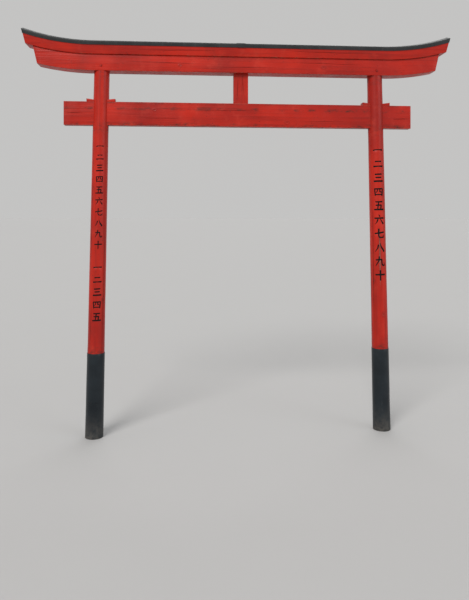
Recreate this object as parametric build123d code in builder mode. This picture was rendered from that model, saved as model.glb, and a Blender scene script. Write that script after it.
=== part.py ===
from build123d import *
import math
import os

os.makedirs("parts", exist_ok=True)

# A vermilion wooden shrine gate: two round posts that lean in, a tie beam driven through them
# and locked with wedges, a centre strut, and two curved lintels under a black rain cover.
# Sizes are in millimetres. X runs from the left post to the right post, Y from the front to
# the back, and Z up. The origin is the centre of the left post's foot, at ground level.

# The way through, at the underside of the tie beam
clear_width = 1860
clear_height = 2180

# Posts: tapered round logs
post_foot_diameter = 121
post_top_diameter = 107
post_lean = 1.2  # degrees towards the middle

# Black sleeve round each post's foot
sleeve_height = 590
sleeve_sheet = 2.0

# Tie beam through both posts
beam_height = 164
beam_thickness = 60
beam_reach = 196  # past the outer side of each post
beam_chamfer = 3.0

# Wedges on top of the tie beam, one from each side of each post
wedge_tip = 8.0
wedge_slope = 0.13
wedge_reach = 46  # past the side of the post
wedge_tip_gap = 6.0  # between the two tips inside the post
wedge_chamfer = 2.0

# Strut in the middle, between the tie beam and the lower lintel
strut_width = 104
strut_thickness = 46
strut_height = 212
strut_chamfer = 2.5

# Lower lintel
lower_width = 106
lower_height = 112
lower_reach = 380  # past the outer side of each post, along its underside
lower_chamfer = 3.0

# Upper lintel, wider at its eaves, with a low ridge
upper_foot_width = 124
upper_eave_width = 152
upper_side_height = 84
upper_ridge_rise = 24
upper_reach = 46  # past each end of the lower lintel, along X

# Both lintels are straight over the posts and curve up towards their ends
straight_past_post = 6.0
end_rise = 40
end_slope = 13.0  # degrees that the end faces lean out

# Rain cover of black sheet on the upper lintel
cover_sheet = 2.5
cover_drip = 24  # how far it is turned down over the eaves
cover_strip_width = 60

# Tenons, and the pins that lock the posts' tenons in the lower lintel
post_tenon_side = 46
post_tenon_length = 72
strut_tenon_width = 60
strut_tenon_thickness = 22
strut_tenon_length = 26
pin_diameter = 18
pin_proud = 4.0
pin_chamfer = 1.5

# Room round what fits, and the extra length that a cut takes off
fit_gap = 0.3
pocket_gap = 1.5
overrun = 60

# Heights and places that follow from the sizes above
lean_run = math.tan(math.radians(post_lean))
beam_top = clear_height + beam_height
lintel_seat = beam_top + strut_height
taper = (post_foot_diameter - post_top_diameter) / 2 / lintel_seat
eave_height = lower_height + upper_side_height  # above the lower lintel's underside
ridge_height = eave_height + upper_ridge_rise
drip_height = eave_height - cover_drip
sides = {"left": -1, "right": 1}


def post_radius(height):
    """The post's radius at a height above the ground."""
    return post_foot_diameter / 2 - taper * height


middle_x = clear_width / 2 + clear_height * lean_run + post_radius(clear_height)


def post_offset(height):
    """How far a post's centre is from the gate's middle at a height above the ground."""
    return middle_x - height * lean_run


def post_x(side, height):
    """Where a post's centre is at a height above the ground. side is -1 left, 1 right."""
    return middle_x + side * post_offset(height)


def wedge_thickness(run):
    """A wedge's thickness at a distance from the post's centre."""
    return wedge_tip + wedge_slope * run


# Posts, cut level at the foot and the seat, each with a slot for the tie beam and its wedges
# and a tenon for the lower lintel
for name, side in sides.items():
    foot_point = (post_x(side, 0), 0, 0)
    foot_plane = Plane(origin=foot_point, x_dir=(0, 1, 0), z_dir=(-side * lean_run, 0, 1))
    slot_x = post_x(side, beam_top)
    slot_run = post_foot_diameter
    tenon_x = post_x(side, lintel_seat)
    with BuildPart() as post:
        with Locations(foot_plane.offset(-overrun)):
            Cone(
                bottom_radius=post_radius(-overrun),
                top_radius=post_radius(lintel_seat + overrun),
                height=lintel_seat + 2 * overrun,
                align=(Align.CENTER, Align.CENTER, Align.MIN),
            )
        split(bisect_by=Plane.XY, keep=Keep.TOP)
        split(bisect_by=Plane.XY.offset(lintel_seat), keep=Keep.BOTTOM)
        with BuildSketch(Plane.XZ):
            with BuildLine():
                Polyline(
                    (slot_x - slot_run, clear_height),
                    (slot_x + slot_run, clear_height),
                    (slot_x + slot_run, beam_top + wedge_thickness(slot_run)),
                    (slot_x, beam_top + wedge_tip),
                    (slot_x - slot_run, beam_top + wedge_thickness(slot_run)),
                    close=True,
                )
            make_face()
        extrude(amount=beam_thickness / 2 + fit_gap, both=True, mode=Mode.SUBTRACT)
        with BuildSketch(Plane.XY.offset(lintel_seat)):
            with Locations((tenon_x, 0)):
                Rectangle(post_tenon_side, post_tenon_side)
        extrude(amount=post_tenon_length)
        with BuildSketch(Plane.XZ):
            with Locations((tenon_x, lintel_seat + post_tenon_length / 2)):
                Circle(pin_diameter / 2 + fit_gap)
        extrude(amount=post_tenon_side, both=True, mode=Mode.SUBTRACT)
    post.part.label = f"{name}_post"
    export_step(post.part, f"parts/{name}_post.step")

# Black sleeves round the posts' feet
for name, side in sides.items():
    with BuildPart() as foot_sleeve:
        for growth, mode in ((fit_gap + sleeve_sheet, Mode.ADD), (fit_gap, Mode.SUBTRACT)):
            for height in (0, sleeve_height):
                with BuildSketch(Plane.XY.offset(height)):
                    with Locations((post_x(side, height), 0)):
                        Circle(post_radius(height) + growth)
            loft(mode=mode)
    foot_sleeve.part.label = f"{name}_foot_sleeve"
    export_step(foot_sleeve.part, f"parts/{name}_foot_sleeve.step")

# Tie beam, a square-edged timber that runs through both posts
beam_length = 2 * (post_offset(clear_height) + post_radius(clear_height) + beam_reach)
with BuildPart() as tie_beam:
    with BuildSketch(Plane.XY.offset(clear_height)):
        with Locations((middle_x, 0)):
            Rectangle(beam_length, beam_thickness)
    extrude(amount=beam_height)
    end_faces = tie_beam.faces().filter_by(Axis.X)
    chamfer(tie_beam.edges().filter_by(Axis.X) + end_faces.edges(), length=beam_chamfer)
    with BuildSketch(Plane.XY.offset(beam_top)):
        with Locations((middle_x, 0)):
            Rectangle(strut_tenon_width + 2 * fit_gap, strut_tenon_thickness + 2 * fit_gap)
    extrude(amount=-strut_tenon_length - pocket_gap, mode=Mode.SUBTRACT)
tie_beam.part.label = "tie_beam"
export_step(tie_beam.part, "parts/tie_beam.step")

# Wedges, driven between the tie beam and the top of each slot from both sides
for name, side in sides.items():
    for place, way in {"outer": side, "inner": -side}.items():
        slot_x = post_x(side, beam_top)
        tip = wedge_tip_gap / 2
        head = post_radius(beam_top) + wedge_reach
        with BuildPart() as wedge:
            with BuildSketch(Plane.XZ):
                with BuildLine():
                    Polyline(
                        (slot_x + way * tip, beam_top),
                        (slot_x + way * head, beam_top),
                        (slot_x + way * head, beam_top + wedge_thickness(head)),
                        (slot_x + way * tip, beam_top + wedge_thickness(tip)),
                        close=True,
                    )
                make_face()
            extrude(amount=beam_thickness / 2, both=True)
            head_face = wedge.faces().sort_by(Axis.X)[-1 if way > 0 else 0]
            chamfer(head_face.edges(), length=wedge_chamfer)
        wedge.part.label = f"{name}_{place}_wedge"
        export_step(wedge.part, f"parts/{name}_{place}_wedge.step")

# Centre strut, with a tenon at each end
with BuildPart() as centre_strut:
    with BuildSketch(Plane.XY.offset(beam_top)):
        with Locations((middle_x, 0)):
            Rectangle(strut_width, strut_thickness)
    extrude(amount=strut_height)
    chamfer(centre_strut.edges().filter_by(Axis.Z), length=strut_chamfer)
    with BuildSketch(Plane.XY.offset(beam_top - strut_tenon_length)):
        with Locations((middle_x, 0)):
            Rectangle(strut_tenon_width, strut_tenon_thickness)
    extrude(amount=strut_height + 2 * strut_tenon_length)
centre_strut.part.label = "centre_strut"
export_step(centre_strut.part, "parts/centre_strut.step")

# The line that both lintels follow, along the underside of the lower one. Past its straight
# stretch it climbs on an arc that reaches end_rise at the lower lintel's end.
straight_half = post_offset(lintel_seat) + post_radius(lintel_seat) + straight_past_post
curve_run = lower_reach - straight_past_post
curve_radius = (curve_run**2 + end_rise**2) / (2 * end_rise)
path_run = curve_run + upper_reach + ridge_height + overrun


def line_point(side, run):
    """The point of the lintel line at a distance past its straight stretch."""
    rise = curve_radius - math.sqrt(curve_radius**2 - run**2)
    return (middle_x + side * (straight_half + run), lintel_seat + rise)


with BuildLine(Plane.XZ) as lintel_line:
    ThreePointArc(line_point(-1, path_run), line_point(-1, path_run / 2), line_point(-1, 0))
    Line(line_point(-1, 0), line_point(1, 0))
    ThreePointArc(line_point(1, 0), line_point(1, path_run / 2), line_point(1, path_run))

line_start_x, line_start_z = line_point(-1, path_run)
section_plane = Plane(
    origin=(line_start_x, 0, line_start_z),
    x_dir=(0, 1, 0),
    z_dir=(math.sqrt(curve_radius**2 - path_run**2), 0, -path_run),
)


def end_plane(side, reach):
    """The leaning plane of an end face, a reach past the lower lintel's, facing out."""
    slope = math.radians(end_slope)
    corner_x = middle_x + side * (straight_half + curve_run + reach)
    outward = (side * math.cos(slope), 0, -math.sin(slope))
    corner = (corner_x, 0, lintel_seat + end_rise)
    return Plane(origin=corner, x_dir=(0, 1, 0), z_dir=outward)


def cut_ends(reach):
    """Cuts both ends of a swept timber along their leaning planes."""
    for side in sides.values():
        split(bisect_by=end_plane(side, reach), keep=Keep.BOTTOM)


# The upper lintel's section, above the lintel line: flared sides and a low ridge
with BuildSketch() as upper_section:
    with BuildLine():
        Polyline(
            (-upper_foot_width / 2, lower_height),
            (upper_foot_width / 2, lower_height),
            (upper_eave_width / 2, eave_height),
            (0, ridge_height),
            (-upper_eave_width / 2, eave_height),
            close=True,
        )
    make_face()


def cut_below_drip():
    """Cuts away what is below the rain cover's drip edge."""
    with Locations((0, drip_height)):
        Rectangle(
            2 * upper_eave_width,
            2 * upper_eave_width,
            align=(Align.CENTER, Align.MAX),
            mode=Mode.SUBTRACT,
        )


def upper_section_grown(growth):
    """The upper lintel's section with each side moved out."""
    with BuildSketch() as grown_section:
        add(upper_section.sketch)
        offset(amount=growth, kind=Kind.INTERSECTION)
    return grown_section.sketch


def folded_sheet(room):
    """The section of a sheet folded over the ridge and the eaves, with room under it."""
    with BuildSketch() as sheet_section:
        add(upper_section_grown(room + cover_sheet))
        add(upper_section_grown(room), mode=Mode.SUBTRACT)
        cut_below_drip()
    return sheet_section.sketch


# Lower lintel, with pockets for the tenons and holes for the pins
with BuildPart() as lower_lintel:
    with BuildSketch(section_plane) as lower_section:
        with Locations((0, lower_height / 2)):
            Rectangle(lower_width, lower_height)
        chamfer(lower_section.vertices().group_by(Axis.Y)[0], length=lower_chamfer)
    sweep(path=lintel_line.line)
    cut_ends(0)
    with BuildSketch(Plane.XY.offset(lintel_seat)):
        with Locations((middle_x, 0)):
            Rectangle(strut_tenon_width + 2 * fit_gap, strut_tenon_thickness + 2 * fit_gap)
    extrude(amount=strut_tenon_length + pocket_gap, mode=Mode.SUBTRACT)
    for side in sides.values():
        tenon_x = post_x(side, lintel_seat)
        with BuildSketch(Plane.XY.offset(lintel_seat)):
            with Locations((tenon_x, 0)):
                Rectangle(post_tenon_side + 2 * fit_gap, post_tenon_side + 2 * fit_gap)
        extrude(amount=post_tenon_length + pocket_gap, mode=Mode.SUBTRACT)
        with BuildSketch(Plane.XZ):
            with Locations((tenon_x, lintel_seat + post_tenon_length / 2)):
                Circle(pin_diameter / 2 + fit_gap)
        extrude(amount=lower_width, both=True, mode=Mode.SUBTRACT)
lower_lintel.part.label = "lower_lintel"
export_step(lower_lintel.part, "parts/lower_lintel.step")

# Pins through the lower lintel and the posts' tenons
for name, side in sides.items():
    tenon_x = post_x(side, lintel_seat)
    with BuildPart() as tenon_pin:
        with BuildSketch(Plane.XZ):
            with Locations((tenon_x, lintel_seat + post_tenon_length / 2)):
                Circle(pin_diameter / 2)
        extrude(amount=lower_width / 2 + pin_proud, both=True)
        chamfer(tenon_pin.edges().filter_by(GeomType.CIRCLE), length=pin_chamfer)
    tenon_pin.part.label = f"{name}_tenon_pin"
    export_step(tenon_pin.part, f"parts/{name}_tenon_pin.step")

# Upper lintel
with BuildPart() as upper_lintel:
    with BuildSketch(section_plane):
        add(upper_section.sketch)
    sweep(path=lintel_line.line)
    cut_ends(upper_reach)
upper_lintel.part.label = "upper_lintel"
export_step(upper_lintel.part, "parts/upper_lintel.step")

# Rain cover, in two folded sheets that butt at the gate's middle
for name, side in sides.items():
    with BuildPart() as rain_cover:
        with BuildSketch(section_plane):
            add(folded_sheet(fit_gap))
        sweep(path=lintel_line.line)
        cut_ends(upper_reach + cover_sheet)
        split(bisect_by=Plane.YZ.offset(middle_x), keep=Keep.TOP if side > 0 else Keep.BOTTOM)
    rain_cover.part.label = f"{name}_rain_cover"
    export_step(rain_cover.part, f"parts/{name}_rain_cover.step")

# End sheets, turned down over the upper lintel's ends inside the rain cover
for name, side in sides.items():
    with BuildPart() as cover_end:
        with BuildSketch(section_plane):
            add(upper_section.sketch)
            cut_below_drip()
        sweep(path=lintel_line.line)
        split(bisect_by=end_plane(side, upper_reach + cover_sheet), keep=Keep.BOTTOM)
        split(bisect_by=end_plane(side, upper_reach), keep=Keep.TOP)
    cover_end.part.label = f"{name}_cover_end"
    export_step(cover_end.part, f"parts/{name}_cover_end.step")

# Strip folded over the joint between the two rain covers
strip_plane = Plane(origin=(middle_x, 0, lintel_seat), x_dir=(0, 1, 0), z_dir=(1, 0, 0))
with BuildPart() as cover_joint_strip:
    with BuildSketch(strip_plane):
        add(folded_sheet(fit_gap + cover_sheet))
    extrude(amount=cover_strip_width / 2, both=True)
cover_joint_strip.part.label = "cover_joint_strip"
export_step(cover_joint_strip.part, "parts/cover_joint_strip.step")
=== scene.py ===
import math
from contextlib import contextmanager

import bmesh
import bpy
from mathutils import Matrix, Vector, noise


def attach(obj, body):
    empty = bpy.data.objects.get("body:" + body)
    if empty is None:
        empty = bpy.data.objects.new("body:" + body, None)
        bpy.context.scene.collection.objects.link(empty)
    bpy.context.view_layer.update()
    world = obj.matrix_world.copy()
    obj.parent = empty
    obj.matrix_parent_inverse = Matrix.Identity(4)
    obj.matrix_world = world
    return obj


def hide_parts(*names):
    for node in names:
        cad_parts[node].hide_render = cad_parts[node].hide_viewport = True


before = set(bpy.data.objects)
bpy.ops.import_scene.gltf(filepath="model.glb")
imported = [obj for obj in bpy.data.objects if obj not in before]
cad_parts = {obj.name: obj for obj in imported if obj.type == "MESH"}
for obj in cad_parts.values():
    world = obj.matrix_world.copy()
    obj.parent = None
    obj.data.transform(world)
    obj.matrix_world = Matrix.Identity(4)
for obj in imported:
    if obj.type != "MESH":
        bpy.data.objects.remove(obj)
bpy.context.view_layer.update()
bpy.ops.object.select_all(action="DESELECT")

# Posts. Each is a whole softwood log, rounded smooth, a little thinner at its top and painted
# vermilion. It leans in, is slotted for the tie beam and its wedges, and ends in a tenon. Long
# drying cracks run down it, and plain counting numbers are cut in its front and painted black.
gate_sides = {"left": -1, "right": 1}
clear_width = 1.860
clear_height = 2.180
beam_height = 0.164
beam_half_thickness = 0.030
beam_top = clear_height + beam_height
lintel_seat = 2.556
post_foot_radius = 0.0605
post_taper = 0.007 / lintel_seat
lean_run = math.tan(math.radians(1.2))
round_sides = 96
post_rows = 120
post_tenon_half = Vector((0.023, 0.023, 0))
post_tenon_length = 0.072
post_tenon_root = 0.020
pin_radius = 0.009
drill_length = 0.20
wedge_tip = 0.008
wedge_slope = 0.13
fit_gap = 0.0003
slot_half = Vector((0.10, beam_half_thickness + fit_gap, 0))
crack_lip = 0.004


def post_radius(height):
    """The post's radius at a height above the ground."""
    return post_foot_radius - post_taper * height


middle = clear_width / 2 + clear_height * lean_run + post_radius(clear_height)


def post_centre(side, height):
    """The middle of a post at a height above the ground."""
    return Vector((middle + side * (middle - height * lean_run), 0, height))


def on_post(side, turn, height, lift=0.0):
    """A point on a post's face. The turn is 0 at the front and grows towards the right."""
    out = Vector((math.sin(turn), -math.cos(turn), 0))
    return post_centre(side, height) + out * (post_radius(height) + lift)


def take(piece):
    """Makes a piece the only one that is selected and worked on."""
    bpy.ops.object.select_all(action="DESELECT")
    piece.select_set(True)
    bpy.context.view_layer.objects.active = piece


@contextmanager
def picked(piece, kind, wanted):
    """Edits a piece with just those vertices, edges or faces selected."""
    take(piece)
    bpy.ops.object.mode_set(mode="EDIT")
    bpy.ops.mesh.select_mode(type=kind)
    bpy.ops.mesh.select_all(action="DESELECT")
    shape = bmesh.from_edit_mesh(piece.data)
    for part in {"VERT": shape.verts, "EDGE": shape.edges, "FACE": shape.faces}[kind]:
        if wanted(part):
            part.select_set(True)
    shape.select_flush_mode()
    bmesh.update_edit_mesh(piece.data)
    yield
    bpy.ops.object.mode_set(mode="OBJECT")


def runs_along(axis, least=0.0):
    """Says of an edge whether it runs along an axis and is longer than least."""

    def wanted(edge):
        run = edge.verts[1].co - edge.verts[0].co
        return run.length > least and abs(run[axis]) > 0.97 * run.length

    return wanted


def divide(piece, axis, least, cuts):
    """Divides a piece's edges along an axis, where they are longer than least."""
    with picked(piece, "EDGE", runs_along(axis, least)):
        bpy.ops.mesh.subdivide(number_cuts=cuts)


def paint_picked(piece, number):
    """Gives the picked faces another of the piece's paints."""
    piece.active_material_index = number
    bpy.ops.object.material_slot_assign()


def fixed_in_place(piece, name, *paints):
    """Names a new piece, puts its place, turn and size into its mesh, and gives it its paints."""
    take(piece)
    bpy.ops.object.transform_apply(location=True, rotation=True, scale=True)
    piece.name = name
    piece.data.name = name
    for paint in paints:
        piece.data.materials.append(paint)
    return piece


def new_block(name, corner, opposite, *paints):
    """A new block between two opposite corners."""
    corner, opposite = Vector(corner), Vector(opposite)
    size = [abs(reach) for reach in opposite - corner]
    bpy.ops.mesh.primitive_cube_add(size=1, location=(corner + opposite) / 2, scale=size)
    return fixed_in_place(bpy.context.object, name, *paints)


def round_shell(name, side, top, lift, rows, ends, *paints):
    """A log or tube as thick as the post and a lift more, still upright, divided into rows."""
    bpy.ops.mesh.primitive_cone_add(
        vertices=round_sides, radius1=post_radius(0) + lift, radius2=post_radius(top) + lift,
        depth=top, end_fill_type=ends, location=post_centre(side, 0) + Vector((0, 0, top / 2)))
    shell = fixed_in_place(bpy.context.object, name, *paints)
    divide(shell, 2, top / 2, rows)
    return shell


def dent_and_lean(shell, side, dent):
    """Presses an upright shell in at each point, and leans it in with the post."""
    for corner in shell.data.vertices:
        height = corner.co.z
        out = Vector((corner.co.x - post_centre(side, 0).x, corner.co.y, 0))
        corner.co -= out.normalized() * max(0.0, dent(side, out, height))
        corner.co.x -= side * lean_run * height


def tidy_shell(piece):
    """Closes a piece's seams and points its faces outwards."""
    with picked(piece, "VERT", lambda corner: True):
        bpy.ops.mesh.remove_doubles(threshold=0.00001)
        bpy.ops.mesh.select_all(action="SELECT")
        bpy.ops.mesh.normals_make_consistent(inside=False)


def joined(pieces, name):
    """Makes one object of several."""
    take(pieces[0])
    for piece in pieces:
        piece.select_set(True)
    bpy.ops.object.join()
    return fixed_in_place(pieces[0], name)


def modified(piece, kind, **settings):
    """Gives a piece a modifier with its settings, and applies it."""
    take(piece)
    modifier = piece.modifiers.new(kind.lower(), kind)
    for setting, value in settings.items():
        setattr(modifier, setting, value)
    bpy.ops.object.modifier_apply(modifier=modifier.name)


def cut_out(piece, *cutters, way="DIFFERENCE", crossing=False):
    """Cuts each cutter's shape out of a piece, or joins it on. The cut has the cutter's finish.
    Crossing is for a cutter whose own parts run into each other, and is slower."""
    for cutter in cutters:
        modified(piece, "BOOLEAN", operation=way, solver="EXACT", use_self=crossing,
                 material_mode="TRANSFER", object=cutter)
        bpy.data.objects.remove(cutter)


def add_tenon(piece, foot, half, length, root, paint):
    """Joins a tenon on to a piece's end. Its root is in the piece, and a negative length and
    root point it down."""
    tenon = new_block("tenon", foot - half - Vector((0, 0, root)),
                      foot + half + Vector((0, 0, length)), paint)
    cut_out(piece, tenon, way="UNION")


def pin_bar(name, side, radius, length, sides, paint):
    """A round bar from front to back through a post's tenon."""
    centre = post_centre(side, lintel_seat) + Vector((0, 0, post_tenon_length / 2))
    bpy.ops.mesh.primitive_cylinder_add(vertices=sides, radius=radius, depth=length,
                                        location=centre, rotation=(math.pi / 2, 0, 0))
    return fixed_in_place(bpy.context.object, name, paint)


def pin_hole(piece, side):
    """Drills the hole of a post's tenon pin."""
    cut_out(piece, pin_bar("drill", side, pin_radius + fit_gap, drill_length, 24, split_wood))


def smooth_sides(piece, degrees=34):
    """Shades a piece smooth, apart from its sharp edges."""
    take(piece)
    bpy.ops.object.shade_smooth_by_angle(angle=math.radians(degrees))


def on_gate(piece, slot, *nodes):
    """Makes a finished piece part of the gate, in the place of its CAD nodes."""
    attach(piece, "root")
    if nodes:
        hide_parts(*nodes)


def new_finish(name, specular=0.5, metallic=0.0):
    """Starts a material. Gives it, and each point's place on the gate."""
    finish = bpy.data.materials.new(name)
    finish.use_nodes = True
    shader = finish.node_tree.nodes["Principled BSDF"]
    shader.inputs["Specular IOR Level"].default_value = specular
    shader.inputs["Metallic"].default_value = metallic
    return finish, node(finish.node_tree, "ShaderNodeTexCoord").outputs["Object"]


def node(tree, kind, inputs=None, **settings):
    """Adds a node to a material, with its settings, and values or links in its inputs."""
    made = tree.nodes.new(kind)
    for setting, value in settings.items():
        setattr(made, setting, value)
    for socket, value in (inputs or {}).items():
        if isinstance(value, bpy.types.NodeSocket):
            tree.links.new(value, made.inputs[socket])
        else:
            made.inputs[socket].default_value = value
    return made


def stretched(place, scale, centre=(0, 0, 0)):
    """The place with each axis scaled, so that a pattern runs along one of them."""
    inputs = {"Vector": place, "Location": centre, "Scale": scale}
    return node(place.id_data, "ShaderNodeMapping", inputs).outputs["Vector"]


def cloudy(place, scale, detail=4.0, harshness=0.55):
    """A soft random pattern from 0 to 1."""
    inputs = {"Vector": place, "Scale": scale, "Detail": detail, "Roughness": harshness}
    return node(place.id_data, "ShaderNodeTexNoise", inputs).outputs["Fac"]


def ranged(value, start, end, low=0.0, high=1.0):
    """A value that goes from low to high as another goes from start to end."""
    inputs = {"Value": value, "From Min": start, "From Max": end, "To Min": low, "To Max": high}
    return node(value.id_data, "ShaderNodeMapRange", inputs).outputs["Result"]


def combined(first, second, way="MULTIPLY"):
    """Two values multiplied, or put together in another way."""
    return node(first.id_data, "ShaderNodeMath", {0: first, 1: second}, operation=way).outputs[0]


def coats(colour, *layers):
    """Colours laid over a first one, each as (share from 0 to 1, colour)."""
    for share, over in layers:
        colour = node(share.id_data, "ShaderNodeMix", {0: share, 6: colour, 7: over},
                      data_type="RGBA", blend_type="MIX").outputs[2]
    return colour


def height_of(vector):
    """How high a place is, or how much a direction looks up."""
    return node(vector.id_data, "ShaderNodeSeparateXYZ", {"Vector": vector}).outputs["Z"]


def facing_up(place, start, end):
    """How much a face looks up: 0 below the first slope, 1 above the second."""
    normal = node(place.id_data, "ShaderNodeNewGeometry").outputs["Normal"]
    return ranged(height_of(normal), start, end)


def specks(place, scale, size, rarity):
    """Small ragged spots of many sizes, in the patches where a broad pattern allows them."""
    tree = place.id_data
    ragged = node(tree, "ShaderNodeTexNoise", {"Vector": place, "Scale": scale * 2.4})
    spread = {0: ragged.outputs["Color"], 1: (0.9 / scale,) * 3, 2: place}
    moved = node(tree, "ShaderNodeVectorMath", spread, operation="MULTIPLY_ADD")
    dots = node(tree, "ShaderNodeTexVoronoi", {"Vector": moved.outputs["Vector"], "Scale": scale})
    chance = node(tree, "ShaderNodeSeparateColor", {"Color": dots.outputs["Color"]}).outputs[0]
    reach = combined(combined(chance, chance), size)
    spot = ranged(dots.outputs["Distance"], reach, combined(reach, 0.4))
    return combined(spot, ranged(cloudy(place, scale * 0.11, 2.0), rarity, rarity + 0.06))


def raised(height, depth, strength=1.0, under=None):
    """A bump of a depth in metres, on top of another bump."""
    inputs = {"Height": height, "Distance": depth, "Strength": strength}
    if under is not None:
        inputs["Normal"] = under
    return node(height.id_data, "ShaderNodeBump", inputs).outputs["Normal"]


def set_look(finish, colour, roughness, normal):
    """Links a material's colour, roughness and bump to its shader."""
    shader = finish.node_tree.nodes["Principled BSDF"]
    for socket, value in {"Base Color": colour, "Roughness": roughness, "Normal": normal}.items():
        finish.node_tree.links.new(value, shader.inputs[socket])
    return finish


bright_red = (0.510, 0.018, 0.006, 1)
deep_red = (0.310, 0.010, 0.005, 1)
faded_red = (0.570, 0.050, 0.024, 1)
fibre_red = (0.200, 0.009, 0.006, 1)
# A dark brown for grime and knot hearts, also used for painted shade on the posts under the tie beam
# and the lower lintel
grime_and_shade_brown = (0.060, 0.017, 0.012, 1)
speck_black = (0.020, 0.010, 0.009, 1)
settled_dust = (0.330, 0.130, 0.100, 1)
bare_wood = (0.235, 0.105, 0.060, 1)


def vermilion(face, grain, wear=0.0, rings=None, pith=(0, 0, 0), grime_and_shade_rows=(), knots=()):
    """Satin vermilion paint on a face of wood. The grain is the pattern's scale along each axis,
    and wear is how much bare and faded wood shows. Growth rings lie round an axis through the
    pith. A grime-and-shade row is a dark band across the face: grime, and on the posts also painted
    shade under the tie beam and the lower lintel. It is given as (height, how far it spreads up and
    down, strength), and a knot is a place."""
    finish, place = new_finish(f"vermilion_on_{face}", specular=0.25)
    fibres = cloudy(stretched(place, grain), 1.0, 9.0, 0.62)
    runs = cloudy(stretched(place, [0.22 * scale for scale in grain]), 1.0, 5.0)
    blotches = cloudy(place, 8.5, 7.0, 0.66)
    faded = ranged(blotches, 0.56 - 0.10 * wear, 0.80 - 0.10 * wear, 0, 0.45 + 0.4 * wear)
    colour = coats(deep_red,
                   (ranged(cloudy(place, 1.9, 3.0), 0.36, 0.64), bright_red),
                   (ranged(runs, 0.48, 0.70, 0, 0.55), deep_red),
                   (ranged(fibres, 0.49, 0.70, 0, 0.60), fibre_red),
                   (faded, faded_red),
                   (ranged(cloudy(place, 3.1, 8.0, 0.72), 0.55, 0.80, 0, 0.55), grime_and_shade_brown))
    row_breakup = cloudy(stretched(place, (16, 16, 34)), 1.0, 6.0, 0.68)
    # Dark bands across the face: grime, and on the posts painted shade under the tie beam and the
    # lower lintel
    for row_height, spread, strength in grime_and_shade_rows:
        away = combined(combined(height_of(place), row_height, "SUBTRACT"), 0, "ABSOLUTE")
        near = ranged(away, spread, spread * 0.2)
        colour = coats(colour, (combined(near, ranged(row_breakup, 0.47, 0.66, 0, strength)), grime_and_shade_brown))
    dust = combined(facing_up(place, 0.55, 0.98), ranged(blotches, 0.30, 0.62, 0.25, 0.75))
    colour = coats(colour, (specks(place, 120.0, 0.34, 0.50), speck_black), (dust, settled_dust))
    bump = raised(cloudy(place, 420.0, 2.0), 0.0006, 0.35)
    bump = raised(fibres, 0.0026, 0.85, bump)
    wobble = combined(cloudy(place, 46.0, 4.0), 0.015)
    for number, knot in enumerate(knots):
        size = 0.70 + 0.17 * (number % 4)
        oval = [(0.62 if scale < 10 else 1.0) / size for scale in grain]
        centre = [-across * scale for across, scale in zip(knot, oval)]
        away = node(place.id_data, "ShaderNodeVectorMath", {0: stretched(place, oval, centre)},
                    operation="LENGTH").outputs["Value"]
        away = combined(away, wobble, "ADD")
        rim = combined(ranged(away, 0.026, 0.019), ranged(away, 0.012, 0.018))
        heart = ranged(away, 0.013, 0.010, 0, 0.55)
        colour = coats(colour, (combined(rim, 0.40), fibre_red), (heart, grime_and_shade_brown))
        bump = raised(combined(rim, heart, "SUBTRACT"), 0.0012, 0.8, bump)
    if rings:
        from_pith = stretched(place, (1, 1, 1), [-along for along in pith])
        inputs = {"Vector": from_pith, "Scale": 85.0, "Distortion": 4.5, "Detail": 3.0,
                  "Detail Scale": 0.5}
        bands = node(place.id_data, "ShaderNodeTexWave", inputs, wave_type="RINGS",
                     rings_direction=rings).outputs["Fac"]
        shown = ranged(cloudy(place, 26.0, 3.0), 0.38, 0.60, 0.18, 0.62)
        colour = coats(colour, (combined(ranged(bands, 0.25, 0.8, 1, 0), shown), fibre_red))
        bump = raised(bands, 0.0010, 0.7, bump)
    if wear:
        chips = ranged(cloudy(place, 34.0, 6.0, 0.7), 0.60 - 0.05 * wear, 0.66)
        colour = coats(colour, (chips, bare_wood))
        bump = raised(chips, -0.0008, 0.8, bump)
    rough = combined(ranged(blotches, 0.30, 0.72, 0.28, 0.52), combined(dust, 0.25), "ADD")
    return set_look(finish, colour, rough, bump)


def plain_finish(name, pattern, share, under, over, rough, depth, **gloss):
    """A finish of one colour over another in a cloudy pattern, which is its roughness and bump
    too. The pattern is as in cloudy, share and rough as in ranged, and gloss as in new_finish."""
    finish, place = new_finish(name, **gloss)
    cloud = cloudy(place, *pattern)
    colour = coats(under, (ranged(cloud, *share), over))
    return set_look(finish, colour, ranged(cloud, *rough), raised(cloud, depth))


def bare_crack(name, dirt, wood):
    """Bare wood down in a crack, with dirt in it."""
    return plain_finish(name, (60.0, 5.0), (0.35, 0.7), dirt, wood, (0.3, 0.7, 0.75, 0.95), 0.001,
                        specular=0.2)


post_knots = [on_post(*knot) for knot in (
    (-1, -0.75, 1.74), (-1, 0.85, 0.96), (-1, 2.40, 1.52), (-1, -2.20, 0.90), (1, 0.85, 1.86),
    (1, -0.90, 1.08), (1, 0.20, 0.84), (1, 2.90, 1.12), (1, -1.90, 1.70))]
# On the posts, the dark row at 0.585 is splash grime over the sleeve. The rows at 2.160 and 2.556 are
# painted shade with some grime, just under the tie beam and the lower lintel
log_paint = vermilion("log", (46, 46, 1.7), knots=post_knots,
                      grime_and_shade_rows=[(0.585, 0.110, 0.75), (2.160, 0.050, 0.55), (2.556, 0.080, 0.70)])
log_end_paint = vermilion("log_end", (60, 60, 60), wear=0.5, rings="Z")
crack_wood = bare_crack("bare_wood_in_crack", (0.016, 0.008, 0.007, 1), (0.085, 0.030, 0.020, 1))
split_wood = bare_crack("pale_wood_in_split", (0.150, 0.066, 0.048, 1), (0.360, 0.210, 0.165, 1))

# Matt black paint in the cut numbers, worn so that some red shows
black_numbers = plain_finish("black_in_numbers", (120.0, 6.0, 0.7), (0.66, 0.78, 0, 0.7),
                             (0.007, 0.007, 0.008, 1), deep_red, (0.3, 0.7, 0.65, 0.85), 0.0006,
                             specular=0.08)


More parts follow.
